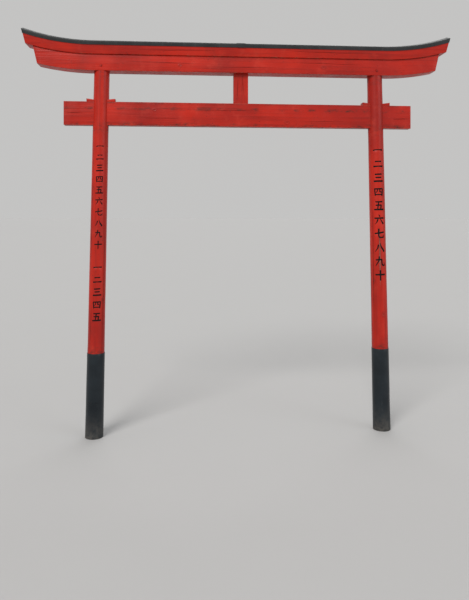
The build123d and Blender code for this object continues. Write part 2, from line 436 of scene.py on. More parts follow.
def crack_cutter(count, ring_at, width, depth, wood):
    """The thin three-sided shape that cuts one drying crack. It has a count of rings. For a
    share of the crack's length, ring_at gives a ring's point on the surface, its way in, its
    way across and how ragged it is."""
    bpy.ops.mesh.primitive_cylinder_add(vertices=3, radius=0.5, depth=1)
    cutter = fixed_in_place(bpy.context.object, "crack", wood)
    divide(cutter, 2, 0, count - 2)
    for corner in cutter.data.vertices:
        share = round((corner.co.z + 0.5) * (count - 1)) / (count - 1)
        point, inward, across, ragged = ring_at(share)
        taper = max(0.05, math.sin(math.pi * share)) ** 0.7
        deep = depth * taper
        if corner.co.y > 0:
            corner.co = point + inward * deep
        else:
            wide = width / 2 * taper * ragged * (deep + crack_lip) / deep
            corner.co = point - inward * crack_lip + across * math.copysign(wide, corner.co.x)
    tidy_shell(cutter)
    return cutter


def crack_down_post(side, turn, foot, top, width, depth, wood=crack_wood):
    """A crack that wanders down a post's face."""

    def ring_at(share):
        height = foot + (top - foot) * share
        wander = noise.noise(Vector((turn * 9, height * 5, side)))
        here = turn + 0.045 * wander + 0.06 * (share - 0.5)
        inward = -Vector((math.sin(here), -math.cos(here), 0))
        across = Vector((math.cos(here), math.sin(here), 0))
        ragged = 1 + 0.45 * noise.noise(Vector((turn, height * 23, 4)))
        return on_post(side, here, height), inward, across, ragged

    return crack_cutter(2 + int((top - foot) / 0.035), ring_at, width, depth, wood)


# The brush strokes of the ten counting numbers, each a list of (right, up, pressure)
one = [[(-0.44, -0.03, 1.0), (-0.32, 0.01, 0.8), (0.12, 0.03, 0.75), (0.43, 0.02, 1.15)]]
two = [[(-0.27, 0.23, 1.0), (0.0, 0.25, 0.7), (0.27, 0.25, 1.1)],
       [(-0.44, -0.25, 1.1), (0.0, -0.22, 0.75), (0.44, -0.22, 1.2)]]
three = [[(-0.31, 0.34, 1.0), (0.31, 0.37, 1.0)],
         [(-0.25, 0.03, 0.9), (0.25, 0.05, 1.0)],
         [(-0.44, -0.33, 1.1), (0.44, -0.30, 1.2)]]
four = [[(-0.40, 0.28, 1.0), (-0.34, -0.36, 0.9)],
        [(-0.40, 0.28, 0.9), (0.39, 0.30, 1.0), (0.33, -0.36, 1.0)],
        [(-0.34, -0.28, 0.8), (0.33, -0.27, 0.8)],
        [(-0.12, 0.26, 0.9), (-0.14, 0.06, 0.8), (-0.25, -0.08, 0.6)],
        [(0.11, 0.26, 0.9), (0.11, 0.00, 0.9), (0.26, -0.03, 0.7)]]
five = [[(-0.33, 0.37, 0.9), (0.34, 0.39, 1.0)],
        [(-0.03, 0.37, 1.0), (-0.14, -0.36, 0.9)],
        [(-0.29, 0.04, 0.9), (0.22, 0.07, 1.0), (0.17, -0.36, 1.0)],
        [(-0.45, -0.38, 1.0), (0.45, -0.36, 1.2)]]
six = [[(-0.03, 0.46, 0.7), (0.05, 0.31, 1.2)],
       [(-0.44, 0.13, 1.0), (0.43, 0.16, 1.1)],
       [(-0.14, 0.01, 1.1), (-0.22, -0.20, 0.9), (-0.40, -0.43, 0.5)],
       [(0.12, 0.01, 0.7), (0.26, -0.20, 1.0), (0.40, -0.40, 1.3)]]
seven = [[(-0.44, 0.00, 1.0), (0.43, 0.14, 1.1)],
         [(-0.08, 0.44, 1.1), (-0.10, -0.20, 0.9), (-0.03, -0.36, 1.0), (0.14, -0.39, 0.9),
          (0.38, -0.36, 1.0), (0.42, -0.16, 0.5)]]
eight = [[(-0.14, 0.24, 1.1), (-0.22, -0.08, 0.9), (-0.44, -0.38, 0.5)],
         [(0.03, 0.38, 0.6), (0.14, 0.06, 1.0), (0.43, -0.38, 1.4)]]
nine = [[(-0.08, 0.46, 1.1), (-0.12, 0.06, 0.9), (-0.43, -0.42, 0.5)],
        [(-0.38, 0.14, 0.9), (0.16, 0.19, 1.0), (0.17, -0.14, 0.9), (0.21, -0.33, 1.0),
         (0.33, -0.40, 1.0), (0.44, -0.35, 0.9), (0.44, -0.15, 0.4)]]
ten = [[(-0.45, 0.05, 1.0), (0.45, 0.08, 1.1)],
       [(0.00, 0.47, 1.1), (0.00, -0.10, 0.9), (0.00, -0.47, 0.9)]]
stroke_pieces = 6
stroke_half = 0.100
stroke_lift = 0.55
tip_run = 0.060
tip_share = 0.66


def brushed(stroke):
    """The marks along a stroke, with the small soft tips that a brush leaves at its ends."""
    marks = []
    for start, end in zip(stroke, stroke[1:]):
        for step in range(stroke_pieces):
            marks.append([a + (b - a) * step / stroke_pieces for a, b in zip(start, end)])
    marks.append(list(stroke[-1]))
    tips = []
    for last, before in ((marks[0], marks[1]), (marks[-1], marks[-2])):
        run = Vector((last[0] - before[0], last[1] - before[1])).normalized() * tip_run
        tips.append([last[0] + run.x, last[1] + run.y, last[2] * tip_share])
    return [tips[0], *marks, tips[1]]


def number_cutter(side, column):
    """The tubes that cut a column of numbers in a post. Each is (number, height, size, turn)."""
    tubes = bpy.data.curves.new("number_strokes", "CURVE")
    tubes.dimensions = "3D"
    tubes.bevel_depth = 1.0
    tubes.bevel_resolution = 2
    tubes.use_fill_caps = True
    tubes.materials.append(black_numbers)
    for number, middle_height, size, turn in column:
        for stroke in number:
            marks = brushed(stroke)
            tube = tubes.splines.new("POLY")
            tube.points.add(len(marks) - 1)
            for point, (right, up, pressure) in zip(tube.points, marks):
                height = middle_height + up * size
                thick = stroke_half * size * pressure
                here = turn + right * size / post_radius(height)
                point.co = (*on_post(side, here, height, stroke_lift * thick), 1)
                point.radius = thick
    cutter = bpy.data.objects.new("number_strokes", tubes)
    bpy.context.scene.collection.objects.link(cutter)
    take(cutter)
    bpy.ops.object.convert(target="MESH")
    tidy_shell(bpy.context.object)
    return bpy.context.object


counting = [one, two, three, four, five, six, seven, eight, nine, ten]


def column(count, top, step, size, turn):
    """The first numbers down a post, from the height of the topmost."""
    return [(number, top - step * place, size, turn)
            for place, number in enumerate(counting[:count])]


number_columns = {"left": column(10, 2.030, 0.076, 0.056, 0.12) + column(5, 1.190, 0.086, 0.064, 0.12),
                  "right": column(10, 2.020, 0.100, 0.074, -0.06)}

# A crack is (turn, foot, top, width, depth). The last one of the right post is a shallow pale
# split, and a narrower crack is cut along its heart afterwards.
post_cracks = {
    "left": [(0.98, 0.66, 1.45, 0.0032, 0.016), (-0.86, 1.10, 2.08, 0.0036, 0.018),
             (2.30, 0.80, 1.90, 0.0042, 0.022), (-2.20, 0.64, 1.20, 0.0030, 0.015),
             (1.55, 1.60, 2.14, 0.0024, 0.012), (-0.62, 0.63, 0.94, 0.0024, 0.010)],
    "right": [(-0.98, 0.72, 1.62, 0.0036, 0.018), (0.92, 1.30, 2.12, 0.0030, 0.014),
              (-2.40, 1.00, 2.10, 0.0040, 0.022), (2.05, 0.64, 1.30, 0.0032, 0.016),
              (0.45, 0.63, 0.96, 0.0024, 0.010), (-1.62, 1.75, 2.15, 0.0022, 0.012),
              (-0.09, 1.03, 1.49, 0.0085, 0.0024, split_wood)],
}
split_hearts = {"left": [], "right": [(-0.09, 1.03, 1.49, 0.0018, 0.012)]}

# The heights between which a log's face is uneven, as (start, full from, full to, end). It is
# true at the others, where something fits on it.
uneven_lengths = ((0.60, 0.66, 2.12, 2.17), (2.38, 2.42, 2.52, 2.55))


def log_hollow(side, out, height):
    """How deep the log's uneven face lies at a point."""
    kept = 0.0
    for start, full, full_end, end in uneven_lengths:
        if start < height < end:
            kept = min(1.0, (height - start) / (full - start), (end - height) / (end - full_end))
    flutter = noise.noise(Vector((out.x * 14, out.y * 14, height * 2.2 + side * 5)))
    ripple = noise.noise(Vector((out.x * 60, out.y * 60, height * 9)))
    return (0.0005 + 0.0007 * flutter + 0.0003 * ripple) * kept


for name, side in gate_sides.items():
    post = round_shell(f"{name}_post_log", side, lintel_seat, 0, post_rows, "NGON", log_paint,
                       log_end_paint)
    dent_and_lean(post, side, log_hollow)
    with picked(post, "FACE", lambda face: abs(face.normal.z) > 0.9):
        paint_picked(post, 1)

    # The tenon, and the slot with its two wedge beds
    add_tenon(post, post_centre(side, lintel_seat), post_tenon_half, post_tenon_length,
              post_tenon_root, log_end_paint)
    pin_hole(post, side)
    slot_centre = post_centre(side, beam_top)
    bed_rise = wedge_slope * slot_half.x
    bed = new_block("slot", slot_centre - slot_half - Vector((0, 0, beam_height)),
                    slot_centre + slot_half + Vector((0, 0, wedge_tip + bed_rise)), log_paint)
    with picked(bed, "EDGE", lambda edge: runs_along(0)(edge) and edge.verts[0].co.z > beam_top):
        bpy.ops.mesh.subdivide(number_cuts=1)
    with picked(bed, "VERT", lambda corner: corner.co.z > beam_top
                and abs(corner.co.x - slot_centre.x) < 0.01):
        bpy.ops.transform.translate(value=(0, 0, -bed_rise))
    cut_out(post, bed)

    cut_out(post, joined([crack_down_post(side, *crack) for crack in post_cracks[name]], "cracks"))
    cut_out(post, *[crack_down_post(side, *heart) for heart in split_hearts[name]])
    cut_out(post, number_cutter(side, number_columns[name]), crossing=True)
    smooth_sides(post)
    on_gate(post, "red_post", f"{name}_post")


# Foot sleeves. Each is a thin sheet bent round the foot of the post and lapped at the back, where
# a row of small nails holds it. It keeps rain splash off the wood, and is painted blue-black.
sleeve_height = 0.590
sleeve_sheet = 0.002
sleeve_rows = 24
lap_start = 0.0585
lap_rise = 0.0009
sheet_edge = 0.0006
nail_radius = 0.0034
sleeve_nails = 6
first_nail_height = 0.030
nail_step = 0.106


def sleeve_paint():
    """Satin blue-black paint on sheet, scuffed, with dust that splashes up from the ground."""
    finish, place = new_finish("blue_black_on_sleeve", specular=0.27)
    cloud = cloudy(place, 6.0, 6.0, 0.65)
    fine = cloudy(stretched(place, (40, 40, 6)), 1.0, 6.0, 0.7)
    low_down = ranged(height_of(place), 0.22, 0.0)
    splash = ranged(cloudy(place, 26.0, 8.0, 0.75), 0.66, 0.40)
    dusty = combined(combined(low_down, low_down), splash)
    spots = specks(place, 70.0, 0.16, 0.50)
    colour = coats((0.006, 0.009, 0.012, 1),
                   (ranged(cloud, 0.35, 0.70), (0.013, 0.019, 0.024, 1)),
                   (ranged(fine, 0.64, 0.78, 0, 0.50), (0.080, 0.092, 0.100, 1)),
                   (combined(dusty, 0.50), (0.150, 0.136, 0.118, 1)),
                   (combined(spots, 0.6), (0.150, 0.140, 0.125, 1)))
    rough = combined(ranged(cloud, 0.3, 0.7, 0.24, 0.40), combined(dusty, 0.45), "ADD")
    bump = raised(cloudy(place, 260.0, 2.0), 0.0004, 0.4)
    return set_look(finish, colour, rough, raised(cloud, 0.003, 0.35, bump))


blue_black_sheet = sleeve_paint()


def facing(way, least=0.9):
    """Says of a face whether it faces a way."""
    return lambda face: face.normal.dot(Vector(way)) > least


# Small nails of blackened iron, brown with rust in places
nail_finish = plain_finish("nail_iron", (180.0, 4.0), (0.45, 0.65), (0.022, 0.022, 0.024, 1),
                           (0.120, 0.048, 0.024, 1), (0.4, 0.65, 0.38, 0.75), 0.0005, metallic=0.6)
bpy.ops.mesh.primitive_cone_add(vertices=10, radius1=nail_radius, radius2=nail_radius * 0.55,
                                depth=nail_radius * 0.5, location=(0, 0, nail_radius * 0.15))
nail_pattern = fixed_in_place(bpy.context.object, "nail_pattern", nail_finish)
with picked(nail_pattern, "FACE", facing((0, 0, 1))):
    bpy.ops.mesh.inset(thickness=nail_radius * 0.25)
    bpy.ops.transform.translate(value=(0, 0, nail_radius * 0.12))


def nail_at(point, out):
    """A copy of the small domed nail head that stands on a point and faces out."""
    nail = nail_pattern.copy()
    nail.data = nail_pattern.data.copy()
    bpy.context.scene.collection.objects.link(nail)
    nail.location = point
    nail.rotation_euler = Vector(out).to_track_quat("Z", "Y").to_euler()
    return fixed_in_place(nail, "nail")


def give_wall(sheet, thickness, edge_angle, even=True):
    """Gives a sheet its thickness, inwards, and softens its cut edges."""
    modified(sheet, "SOLIDIFY", thickness=thickness, offset=-1, use_even_offset=even)
    modified(sheet, "BEVEL", width=sheet_edge, segments=2, limit_method="ANGLE",
             angle_limit=math.radians(edge_angle))


def sheet_dent(side, out, height):
    """How deep the sleeve's sheet is dented at a point. Its two rims stay round."""
    dent = noise.noise(Vector((out.x * 22, out.y * 22, height * 7 + side * 3)))
    return 0.0010 * dent * min(1.0, height / 0.05, (sleeve_height - height) / 0.05)


for name, side in gate_sides.items():
    sleeve = round_shell(f"{name}_sleeve_sheet", side, sleeve_height, fit_gap + sleeve_sheet,
                         sleeve_rows, "NOTHING", blue_black_sheet)
    dent_and_lean(sleeve, side, sheet_dent)
    with picked(sleeve, "FACE", lambda face: face.calc_center_median().y > lap_start):
        bpy.ops.mesh.extrude_region_move()
        bpy.ops.transform.shrink_fatten(value=lap_rise)
    give_wall(sleeve, sleeve_sheet, 50, even=False)

    # The leaning rim's inner edge is kept from dipping into the ground
    for corner in sleeve.data.vertices:
        corner.co.z = max(0.0, corner.co.z)
    smooth_sides(sleeve, 40)
    on_gate(sleeve, "black_sleeve", f"{name}_foot_sleeve")
    lift = fit_gap + sleeve_sheet + lap_rise
    nails = [nail_at(on_post(side, math.pi, first_nail_height + nail_step * step, lift), (0, 1, 0))
             for step in range(sleeve_nails)]
    on_gate(joined(nails, f"{name}_sleeve_nails"), "black_sleeve")


# Tie beam. A planed square-edged timber that runs through both posts and locks them upright. Its
# faces have the thin cracks of dried softwood, and its ends crack from the pith outwards.
beam_reach = 0.196
strut_tenon_half = Vector((0.030, 0.011, 0))
strut_tenon_length = 0.026
pocket_gap = 0.0015
beam_pith = (0, 0.006, 2.262)
beam_knots = [(0.42, -0.030, 2.290), (1.36, -0.030, 2.212), (1.72, 0.030, 2.290), (0.66, 0.030, 2.230),
              (0.60, -0.053, 2.600), (1.62, -0.053, 2.604), (1.25, 0.053, 2.640), (0.20, 0.053, 2.605)]
beam_paint = vermilion("beam", (1.7, 46, 46), knots=beam_knots,
                       grime_and_shade_rows=[(2.300, 0.016, 1.0), (2.186, 0.022, 0.9), (2.341, 0.012, 0.7)])
beam_end_paint = vermilion("beam_end", (60, 60, 60), wear=0.6, rings="X", pith=beam_pith)
worn_edge_paint = vermilion("worn_edge", (1.7, 46, 46), wear=1.0)


def ease_edges(timber, axis, ease, row):
    """Eases a timber's long edges, gives them its second paint, and divides it into rows."""
    with picked(timber, "EDGE", runs_along(axis, 0.1)):
        bpy.ops.mesh.bevel(offset=ease, segments=3, profile=0.6, affect="EDGES")
        paint_picked(timber, 1)
    reach = [corner.co[axis] for corner in timber.data.vertices]
    divide(timber, axis, 0.1, int((max(reach) - min(reach)) / row))


def finish_end(timber, wanted, ease=0.0, profile=0.5):
    """Gives a timber's sawn ends its third paint, and eases their edges."""
    with picked(timber, "FACE", wanted):
        paint_picked(timber, 2)
        if ease:
            bpy.ops.mesh.bevel(offset=ease, segments=2, profile=profile, affect="EDGES")


def crack_on_face(start, end, inward, width, depth, wander=0.004):
    """A crack that wanders from one point on a flat face to another."""
    start, end, inward = Vector(start), Vector(end), Vector(inward).normalized()
    run = end - start
    across = run.normalized().cross(inward)

    def ring_at(share):
        point = start + run * share
        drift = noise.noise(point * 7 + Vector((3, 1, 5)))
        return point + across * wander * drift, inward, across, 1 + 0.4 * noise.noise(point * 31)

    return crack_cutter(3 + int(run.length / 0.03), ring_at, width, depth, crack_wood)


def side_cracks(*rows):
    """Cracks in a timber's front and back. A row is the face's y, x and z of the crack's start
    and of its end, its width and its depth."""
    return [crack_on_face((x, y, z), (end_x, y, end_z), (0, -y, 0), width, depth)
            for y, x, z, end_x, end_z, width, depth in rows]


def end_cracks(pith, ways, inward, width=0.0036, depth=0.045):
    """Cracks that run out from the pith on an end face, each thinner than the one before. Each
    way is a run across the face."""
    pith = Vector(pith)
    return [crack_on_face(pith + Vector(way) * 0.10, pith + Vector(way), inward,
                          width / (1 + 0.5 * number), depth, 0.002)
            for number, way in enumerate(ways)]


def pocket(piece, mouth, half, depth):
    """Cuts the square pocket in which a tenon sits, up into a piece or with a negative depth
    down into it."""
    way = math.copysign(1, depth)
    loose = half + Vector((fit_gap, fit_gap, 0))
    cut_out(piece, new_block("pocket", mouth - loose - Vector((0, 0, way * 0.01)),
                             mouth + loose + Vector((0, 0, depth + way * pocket_gap)), split_wood))


def bruises(start_x, end_x, y, height, count, depth):
    """Ragged lumps scattered along an edge, which knock small bruises out of it."""
    start, end = Vector((start_x, y, height)), Vector((end_x, y, height))
    lumps = []
    for number in range(count):
        chance = Vector((number * 3.17, start.y * 60 + start.z * 40, depth * 700))
        share = (number + 0.5 + 0.5 * noise.noise(chance)) / count
        size = depth * (1 + 0.7 * noise.noise(chance * 1.9))
        bpy.ops.mesh.primitive_ico_sphere_add(subdivisions=2, radius=size)
        lump = bpy.context.object
        along = 2.2 + 1.6 * noise.noise(chance * 2.7)
        for corner in lump.data.vertices:
            corner.co *= 1 + 0.45 * noise.noise(corner.co * 1.6 / size + chance)
            corner.co.x *= along
        lump.location = start.lerp(end, share)
        lumps.append(fixed_in_place(lump, "bruise", worn_edge_paint))
    return lumps


beam_half = middle - clear_height * lean_run + post_radius(clear_height) + beam_reach
beam_low = Vector((middle - beam_half, -beam_half_thickness, clear_height))
beam_high = Vector((middle + beam_half, beam_half_thickness, beam_top))
tie_beam = new_block("tie_beam_timber", beam_low, beam_high, beam_paint, worn_edge_paint,
                     beam_end_paint)
ease_edges(tie_beam, 0, ease=0.003, row=0.04)
finish_end(tie_beam, lambda face: abs(face.normal.x) > 0.95, ease=0.0012, profile=0.6)
front, back = -beam_half_thickness, beam_half_thickness
beam_cracks = side_cracks(
    (front, 0.30, 2.235, 0.62, 2.231, 0.0015, 0.009), (front, 0.74, 2.291, 1.16, 2.296, 0.0017, 0.010),
    (front, 1.48, 2.222, 1.80, 2.227, 0.0015, 0.009), (front, 1.08, 2.250, 1.24, 2.248, 0.0010, 0.006),
    (back, 0.14, 2.300, 0.90, 2.292, 0.0026, 0.014), (back, 0.80, 2.225, 1.60, 2.232, 0.0022, 0.012),
    (back, 1.45, 2.286, 1.92, 2.279, 0.0018, 0.010),
    (front, -0.195, 2.268, -0.07, 2.262, 0.0026, 0.012),
    (front, 2.13, 2.245, 2.255, 2.250, 0.0026, 0.012))
beam_cracks += [
    crack_on_face((0.30, 0.004, 2.180), (1.20, -0.006, 2.180), (0, 0, 1), 0.0022, 0.012),
    crack_on_face((1.10, 0.010, 2.180), (1.80, 0.005, 2.180), (0, 0, 1), 0.0018, 0.010)]
for way, end_x, ways in (
        (1, beam_low.x, [(0, -0.024, 0.056), (0, 0.018, -0.034), (0, -0.026, -0.020)]),
        (-1, beam_high.x, [(0, -0.022, -0.060), (0, 0.014, 0.050), (0, -0.026, 0.016)])):
    beam_cracks += end_cracks((end_x, *beam_pith[1:]), ways, (way, 0, 0))
pocket(tie_beam, Vector((middle, 0, beam_top)), strut_tenon_half, -strut_tenon_length)
cut_out(tie_beam, *beam_cracks)
knocks = []
for y in (front, back):
    knocks += bruises(0.12, 1.94, y, clear_height, count=9, depth=0.0044)
    knocks += bruises(0.20, 1.90, y, beam_top, count=6, depth=0.0038)
    for start_x, end_x in ((beam_low.x + 0.004, -0.08), (2.14, beam_high.x - 0.004)):
        knocks += bruises(start_x, end_x, y, clear_height, count=2, depth=0.0040)
        knocks += bruises(start_x, end_x, y, beam_top, count=2, depth=0.0036)
cut_out(tie_beam, joined(knocks, "knocks"))
smooth_sides(tie_beam)
on_gate(tie_beam, "red_timber", "tie_beam")


# Wedges. Split hardwood, driven between the tie beam and the top of each slot from both sides of
# the post. Their heads are bruised by the mallet.
wedge_reach = 0.046
wedge_tip_gap = 0.003
wedge_ease = 0.0012
head_border = 0.002
head_bruise = 0.0016
head_rounding = 0.0022
wedge_paint = vermilion("wedge", (3, 60, 60), wear=0.4)
wedge_head_paint = vermilion("wedge_head", (70, 70, 70), wear=0.9, rings="X")
head_run = post_radius(beam_top) + wedge_reach

for name, side in gate_sides.items():
    for place, way in {"outer": side, "inner": -side}.items():
        slot_x = post_centre(side, beam_top).x
        head_x = slot_x + way * head_run
        wedge = new_block(f"{name}_{place}_wedge_wood",
                          (slot_x + way * wedge_tip_gap, -beam_half_thickness, beam_top),
                          (head_x, beam_half_thickness, beam_top + wedge_tip),
                          wedge_paint, wedge_head_paint)
        with picked(wedge, "VERT", lambda corner: corner.co.z > beam_top + 0.001
                    and abs(corner.co.x - slot_x) > 0.05):
            bpy.ops.transform.translate(value=(0, 0, wedge_slope * head_run))
        with picked(wedge, "EDGE", runs_along(0, 0.05)):
            bpy.ops.mesh.bevel(offset=wedge_ease, segments=2, affect="EDGES")
        with picked(wedge, "FACE", facing((way, 0, 0))):
            bpy.ops.mesh.inset(thickness=head_border)
            paint_picked(wedge, 1)
            bpy.ops.mesh.subdivide(number_cuts=5)
        divide(wedge, 0, 0.05, 14)
        for corner in wedge.data.vertices:
            if abs(corner.co.x - head_x) < 0.0006:
                across = corner.co.y / beam_half_thickness
                bruise = head_bruise * noise.noise(corner.co * 120) - head_rounding * across**4
                corner.co.x += way * min(0.0, bruise)
        smooth_sides(wedge, 40)
        on_gate(wedge, "red_wedge", f"{name}_{place}_wedge")


# Centre strut. A short board on end between the tie beam and the lower lintel, with a stub tenon
# in each. The grain runs upright.
strut_half_width = 0.052
strut_half_thickness = 0.023
strut_root_share = 0.2
strut_paint = vermilion("strut", (46, 46, 1.7))
strut_edge_paint = vermilion("strut_edge", (46, 46, 1.7), wear=1.0)
strut_end_paint = vermilion("strut_end", (60, 60, 60), wear=0.5, rings="Z")
strut = new_block("centre_strut_timber",
                  (middle - strut_half_width, -strut_half_thickness, beam_top),
                  (middle + strut_half_width, strut_half_thickness, lintel_seat),
                  strut_paint, strut_edge_paint, strut_end_paint)
ease_edges(strut, 2, ease=0.0025, row=0.02)
for way, end_height in ((-1, beam_top), (1, lintel_seat)):
    length = way * strut_tenon_length
    add_tenon(strut, Vector((middle, 0, end_height)), strut_tenon_half, length,
              length * strut_root_share, strut_end_paint)
front, back = -strut_half_thickness, strut_half_thickness
cut_out(strut, *side_cracks(
    (front, 1.004, 2.36, 1.008, 2.52, 0.0018, 0.010), (front, 1.046, 2.40, 1.043, 2.55, 0.0022, 0.012),
    (back, 1.020, 2.35, 1.024, 2.50, 0.0022, 0.012), (back, 1.060, 2.42, 1.058, 2.55, 0.0016, 0.008)))
smooth_sides(strut)
on_gate(strut, "red_timber", "centre_strut")


# Lower lintel. A long timber on the posts' tenons, straight over the posts and curved up towards
# its ends, which are cut aslant.
lower_half_width = 0.053
lower_height = 0.112
lower_reach = 0.380
straight_past_post = 0.006
end_rise = 0.040
end_slope = math.radians(13)
sawn_off = 0.28
straight_half = middle - lintel_seat * lean_run + post_radius(lintel_seat) + straight_past_post
curve_run = lower_reach - straight_past_post
curve_radius = (curve_run**2 + end_rise**2) / (2 * end_rise)
lintel_half = straight_half + curve_run + sawn_off


def on_curve(side, turn, across, height):
    """A point of a lintel's curved end, by its turn and its height over the lintels' line."""
    arm = curve_radius - height
    return Vector((middle + side * (straight_half + arm * math.sin(turn)), across,
                   lintel_seat + curve_radius - arm * math.cos(turn)))


def bend_up(piece):
    """Bends a straight timber's or sheet's ends up along the lintels' line."""
    for corner in piece.data.vertices:
        side = math.copysign(1, corner.co.x - middle)
        past = abs(corner.co.x - middle) - straight_half
        if past > 0:
            corner.co = on_curve(side, past / curve_radius, corner.co.y, corner.co.z - lintel_seat)


def end_plane(side, reach):
    """A point of a lintel's or a sheet's leaning end plane, and the way that it faces."""
    point = Vector((middle + side * (straight_half + curve_run + reach), 0, lintel_seat + end_rise))
    return point, Vector((side * math.cos(end_slope), 0, -math.sin(end_slope)))


def saw_end(piece, side, reach, fill=True):
    """Saws a lintel or a sheet along its leaning end plane. Gives the way that the cut faces."""
    point, outward = end_plane(side, reach)
    with picked(piece, "VERT", lambda corner: True):
        bpy.ops.mesh.bisect(plane_co=point, plane_no=outward, use_fill=fill, clear_outer=True)
    return outward


def knock_lower_edges(timber, half_width, start_x, end_x, height, count, depth):
    """Knocks bruises out of a lintel's two lower edges, along its bent line."""
    front = bruises(start_x, end_x, -half_width, height, count, depth)
    back = bruises(start_x, end_x, half_width, height, count, depth)
    knocks = joined(front + back, "knocks")
    bend_up(knocks)
    cut_out(timber, knocks)


lower_end_paint = vermilion("lower_end", (60, 60, 60), wear=0.5, rings="X",
                            pith=(0, 0, lintel_seat + end_rise + lower_height / 2))
lower = new_block("lower_lintel_timber", (middle - lintel_half, -lower_half_width, lintel_seat),
                  (middle + lintel_half, lower_half_width, lintel_seat + lower_height),
                  beam_paint, worn_edge_paint, lower_end_paint)
ease_edges(lower, 0, ease=0.003, row=0.045)
bend_up(lower)
lower_end_cracks = []
lower_end_runs = {-1: [(0.030, -0.042), (-0.040, 0.020), (0.022, 0.036)],
                  1: [(-0.026, -0.044), (0.040, 0.024), (-0.014, 0.044), (0.030, -0.022)]}
for side in gate_sides.values():
    outward = saw_end(lower, side, 0)
    finish_end(lower, facing(outward, 0.99), ease=0.0012)
    up = Vector((side * math.sin(end_slope), 0, math.cos(end_slope)))
    ways = [Vector((0, across, 0)) + up * rise for across, rise in lower_end_runs[side]]
    pith = end_plane(side, 0)[0] + up * lower_height / 2
    lower_end_cracks += end_cracks(pith, ways, -outward)
front, back = -lower_half_width, lower_half_width
lower_cracks = side_cracks(
    (front, 0.22, 2.622, 0.70, 2.616, 0.0019, 0.012), (front, 0.86, 2.592, 1.30, 2.597, 0.0015, 0.009),
    (front, 1.40, 2.634, 1.90, 2.628, 0.0019, 0.012), (back, 0.20, 2.600, 1.00, 2.608, 0.0026, 0.014),
    (back, 1.12, 2.628, 1.98, 2.619, 0.0024, 0.012))
lower_cracks += [
    crack_on_face((0.20, -0.014, lintel_seat), (0.92, -0.006, lintel_seat), (0, 0, 1), 0.0030, 0.016),
    crack_on_face((1.14, 0.012, lintel_seat), (1.85, 0.018, lintel_seat), (0, 0, 1), 0.0026, 0.014)]
pocket(lower, Vector((middle, 0, lintel_seat)), strut_tenon_half, strut_tenon_length)
for side in gate_sides.values():
    pocket(lower, post_centre(side, lintel_seat), post_tenon_half, post_tenon_length)
    pin_hole(lower, side)
cut_out(lower, *lower_cracks, *lower_end_cracks)
knock_lower_edges(lower, lower_half_width, -0.40, 2.46, lintel_seat, count=16, depth=0.0034)
smooth_sides(lower)
on_gate(lower, "red_timber", "lower_lintel")


# Tenon pins. Round hardwood pegs driven from the front through the lower lintel and the tenon of
# each post, and left a little proud.
pin_proud = 0.004
pin_ease = 0.0015
pin_half = lower_half_width + pin_proud
pin_paint = vermilion("pin", (60, 3, 60), wear=0.8, rings="Y")

for name, side in gate_sides.items():
    pin = pin_bar(f"{name}_tenon_peg", side, pin_radius, 2 * pin_half, 20, pin_paint)
    with picked(pin, "FACE", lambda face: abs(face.normal.y) > 0.9):
        bpy.ops.mesh.bevel(offset=pin_ease, segments=3, affect="EDGES")
    centre = post_centre(side, lintel_seat) + Vector((0, 0, post_tenon_length / 2))
    for corner in pin.data.vertices:
        if abs(corner.co.y) > pin_half - 2 * pin_ease:
            out = Vector((corner.co.x - centre.x, 0, corner.co.z - centre.z))
            corner.co -= out * max(0.0, 0.10 * noise.noise(corner.co * 300))
            corner.co.y -= math.copysign(0.0006 * abs(noise.noise(corner.co * 210)), corner.co.y)
    smooth_sides(pin, 40)
    on_gate(pin, "red_wedge", f"{name}_tenon_pin")


# Upper lintel. A wider timber on the lower one, its sides flared out towards the eaves and its top
# cut to a low ridge under the rain cover.
upper_foot_half = 0.062
upper_eave_half = 0.076
upper_side_height = 0.084
upper_ridge_rise = 0.024
upper_reach = 0.046
upper_foot = lintel_seat + lower_height
eave_height = upper_foot + upper_side_height
flare = (upper_eave_half - upper_foot_half) / upper_side_height

upper_end_paint = vermilion("upper_end", (60, 60, 60), wear=0.5, rings="X",
                            pith=(0, 0.030, eave_height + end_rise - 0.150))
upper = new_block("upper_lintel_timber", (middle - lintel_half, -upper_eave_half, upper_foot),
                  (middle + lintel_half, upper_eave_half, eave_height),
                  beam_paint, worn_edge_paint, upper_end_paint)
with picked(upper, "VERT", lambda corner: corner.co.z < eave_height - 0.01):
    bpy.ops.transform.resize(value=(1, upper_foot_half / upper_eave_half, 1))
ease_edges(upper, 0, ease=0.003, row=0.045)
with picked(upper, "EDGE", lambda edge: runs_along(1, 0.05)(edge)
            and edge.verts[0].co.z > eave_height - 0.001):
    bpy.ops.mesh.subdivide(number_cuts=1)
with picked(upper, "VERT", lambda corner: abs(corner.co.y) < 0.001
            and corner.co.z > eave_height - 0.001):
    bpy.ops.transform.translate(value=(0, 0, upper_ridge_rise))
bend_up(upper)
for side in gate_sides.values():
    finish_end(upper, facing(saw_end(upper, side, upper_reach), 0.99))


def on_upper_side(x, height, way):
    """A point on the upper lintel's flared side, at a height over its foot."""
    return Vector((x, way * (upper_foot_half + flare * height), upper_foot + height))


for way, x, height, end_x, end_height, width, depth in (
        (-1, 0.30, 0.030, 0.88, 0.035, 0.0018, 0.010), (-1, 1.35, 0.042, 1.92, 0.038, 0.0018, 0.010),
        (1, 0.15, 0.022, 1.10, 0.030, 0.0028, 0.014), (1, 1.20, 0.038, 1.95, 0.030, 0.0024, 0.012)):
    cut_out(upper, crack_on_face(on_upper_side(x, height, way), on_upper_side(end_x, end_height, way),
                                 (0, -way, flare), width, depth))
knock_lower_edges(upper, upper_foot_half, -0.43, 2.49, upper_foot, count=15, depth=0.0032)
smooth_sides(upper)
on_gate(upper, "red_timber", "upper_lintel")


